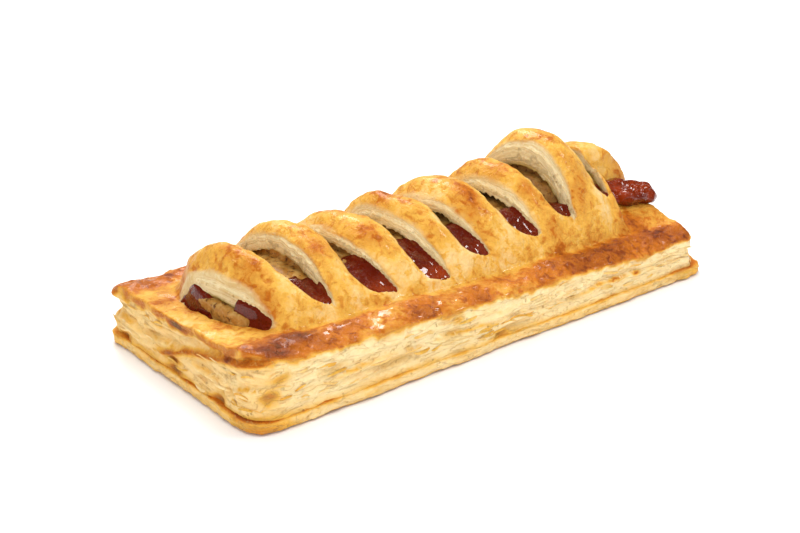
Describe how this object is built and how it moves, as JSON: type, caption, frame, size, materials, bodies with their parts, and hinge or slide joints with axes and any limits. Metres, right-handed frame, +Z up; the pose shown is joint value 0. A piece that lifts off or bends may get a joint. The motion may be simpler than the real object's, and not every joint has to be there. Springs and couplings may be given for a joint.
{
  "type": "sausage roll",
  "caption": "Rectangular puff pastry roll with a slashed, arched lid over a meat rod and dark sauce, flat underneath.",
  "frame": {"origin": "centre of the footprint, on the surface that the roll rests on", "axes": "+X along the roll from the thick near end to the far end, +Z up; the taller edge of the border faces -Y"},
  "size_m": [0.172, 0.078, 0.0446],
  "materials": {
    "pastry": "golden egg-washed crust on top, pale flaky layers at the sides",
    "sausage": "moist fine-minced meat",
    "sauce": "thick, glossy"
  },
  "bodies": {
    "root": {"pastry": "pastry", "sausage": "sausage", "sauce": "sauce"}
  },
  "joints": []
}
